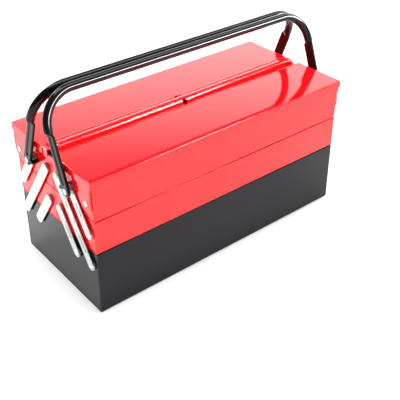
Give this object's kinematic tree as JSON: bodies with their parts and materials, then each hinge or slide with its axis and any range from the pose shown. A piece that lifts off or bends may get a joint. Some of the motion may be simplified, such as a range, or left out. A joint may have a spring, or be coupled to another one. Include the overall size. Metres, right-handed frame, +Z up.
{
  "type": "cantilever toolbox",
  "caption": "Steel cantilever toolbox whose stacked trays swing out on links to both sides of an open base, with hinged lids and folding tube handles.",
  "frame": {"origin": "on the floor under the middle of the closed box", "axes": "+X along the box, +Y towards the rear trays, +Z up"},
  "size_m": [0.4842, 0.2056, 0.3049],
  "materials": {
    "base_paint": "gloss black enamel on folded sheet",
    "tray_red": "gloss signal red enamel on folded sheet",
    "lid_red": "gloss signal red enamel on pressed sheet",
    "handle_black": "gloss black enamel on bent tube",
    "link_zinc": "bright zinc plate",
    "rivet_steel": "bright zinc plate, satin",
    "spacer_steel": "dull zinc plate"
  },
  "bodies": {
    "base": {"base_shell": "base_paint", "base_left_end": "base_paint", "base_right_end": "base_paint", "base_rivets": "rivet_steel", "base_spacers": "spacer_steel"},
    "front_inner_links": {"front_left_inner_link": "link_zinc", "front_right_inner_link": "link_zinc"},
    "front_long_links": {"front_left_long_link": "link_zinc", "front_right_long_link": "link_zinc"},
    "front_outer_links": {"front_left_outer_link": "link_zinc", "front_right_outer_link": "link_zinc"},
    "front_lower_tray": {"front_lower_tray": "tray_red", "front_lower_tray_left_end": "tray_red", "front_lower_tray_right_end": "tray_red", "front_lower_tray_rivets": "rivet_steel", "front_lower_tray_spacers": "spacer_steel"},
    "front_upper_tray": {"front_upper_tray": "tray_red", "front_upper_tray_left_end": "tray_red", "front_upper_tray_right_end": "tray_red", "front_upper_tray_rivets": "rivet_steel", "front_upper_tray_spacers": "spacer_steel", "front_lid_rivets": "rivet_steel", "front_handle_stops": "handle_black"},
    "front_lid": {"front_lid": "lid_red", "front_lid_left_ear": "lid_red", "front_lid_right_ear": "lid_red"},
    "front_handle": {"front_handle": "handle_black"},
    "rear_inner_links": {"rear_left_inner_link": "link_zinc", "rear_right_inner_link": "link_zinc"},
    "rear_long_links": {"rear_left_long_link": "link_zinc", "rear_right_long_link": "link_zinc"},
    "rear_outer_links": {"rear_left_outer_link": "link_zinc", "rear_right_outer_link": "link_zinc"},
    "rear_lower_tray": {"rear_lower_tray": "tray_red", "rear_lower_tray_left_end": "tray_red", "rear_lower_tray_right_end": "tray_red", "rear_lower_tray_rivets": "rivet_steel", "rear_lower_tray_spacers": "spacer_steel"},
    "rear_upper_tray": {"rear_upper_tray": "tray_red", "rear_upper_tray_left_end": "tray_red", "rear_upper_tray_right_end": "tray_red", "rear_upper_tray_rivets": "rivet_steel", "rear_upper_tray_spacers": "spacer_steel", "rear_lid_rivets": "rivet_steel", "rear_handle_stops": "handle_black"},
    "rear_lid": {"rear_lid": "lid_red", "rear_lid_left_ear": "lid_red", "rear_lid_right_ear": "lid_red"},
    "rear_handle": {"rear_handle": "handle_black"}
  },
  "joints": [
    {"name": "front_fold", "type": "hinge", "parent": "base", "child": "front_long_links", "pos_m": [0, -0.0874, 0.077], "axis": [1, 0, 0], "range_deg": [0, 70.8]},
    {"name": "front_inner_link_pivot", "type": "hinge", "parent": "base", "child": "front_inner_links", "pos_m": [0, -0.051, 0.077], "axis": [1, 0, 0], "range_deg": [0, 70.8]},
    {"name": "front_lower_tray_pivot", "type": "hinge", "parent": "front_long_links", "child": "front_lower_tray", "pos_m": [0, -0.051, 0.1282], "axis": [1, 0, 0], "range_deg": [-70.8, 0]},
    {"name": "front_upper_tray_pivot", "type": "hinge", "parent": "front_long_links", "child": "front_upper_tray", "pos_m": [0, -0.0146, 0.1794], "axis": [1, 0, 0], "range_deg": [-70.8, 0]},
    {"name": "front_outer_link_pivot", "type": "hinge", "parent": "front_lower_tray", "child": "front_outer_links", "pos_m": [0, -0.0874, 0.1282], "axis": [1, 0, 0], "range_deg": [0, 70.8]},
    {"name": "front_lid_hinge", "type": "hinge", "parent": "front_upper_tray", "child": "front_lid", "pos_m": [0, -0.0874, 0.1766], "axis": [1, 0, 0], "range_deg": [0, 117]},
    {"name": "front_handle_pivot", "type": "hinge", "parent": "front_upper_tray", "child": "front_handle", "pos_m": [0, -0.051, 0.1794], "axis": [1, 0, 0], "range_deg": [0, 167]},
    {"name": "rear_fold", "type": "hinge", "parent": "base", "child": "rear_long_links", "pos_m": [0, 0.0874, 0.077], "axis": [-1, 0, 0], "range_deg": [0, 70.8]},
    {"name": "rear_inner_link_pivot", "type": "hinge", "parent": "base", "child": "rear_inner_links", "pos_m": [0, 0.051, 0.077], "axis": [-1, 0, 0], "range_deg": [0, 70.8]},
    {"name": "rear_lower_tray_pivot", "type": "hinge", "parent": "rear_long_links", "child": "rear_lower_tray", "pos_m": [0, 0.051, 0.1282], "axis": [-1, 0, 0], "range_deg": [-70.8, 0]},
    {"name": "rear_upper_tray_pivot", "type": "hinge", "parent": "rear_long_links", "child": "rear_upper_tray", "pos_m": [0, 0.0146, 0.1794], "axis": [-1, 0, 0], "range_deg": [-70.8, 0]},
    {"name": "rear_outer_link_pivot", "type": "hinge", "parent": "rear_lower_tray", "child": "rear_outer_links", "pos_m": [0, 0.0874, 0.1282], "axis": [-1, 0, 0], "range_deg": [0, 70.8]},
    {"name": "rear_lid_hinge", "type": "hinge", "parent": "rear_upper_tray", "child": "rear_lid", "pos_m": [0, 0.0874, 0.1766], "axis": [-1, 0, 0], "range_deg": [0, 117]},
    {"name": "rear_handle_pivot", "type": "hinge", "parent": "rear_upper_tray", "child": "rear_handle", "pos_m": [0, 0.051, 0.1794], "axis": [-1, 0, 0], "range_deg": [0, 167]}
  ],
  "couplings": [
    {"joint": "front_inner_link_pivot", "follows": "front_fold", "ratio": 1},
    {"joint": "front_lower_tray_pivot", "follows": "front_fold", "ratio": -1},
    {"joint": "front_upper_tray_pivot", "follows": "front_fold", "ratio": -1},
    {"joint": "front_outer_link_pivot", "follows": "front_fold", "ratio": 1},
    {"joint": "rear_inner_link_pivot", "follows": "rear_fold", "ratio": 1},
    {"joint": "rear_lower_tray_pivot", "follows": "rear_fold", "ratio": -1},
    {"joint": "rear_upper_tray_pivot", "follows": "rear_fold", "ratio": -1},
    {"joint": "rear_outer_link_pivot", "follows": "rear_fold", "ratio": 1}
  ]
}
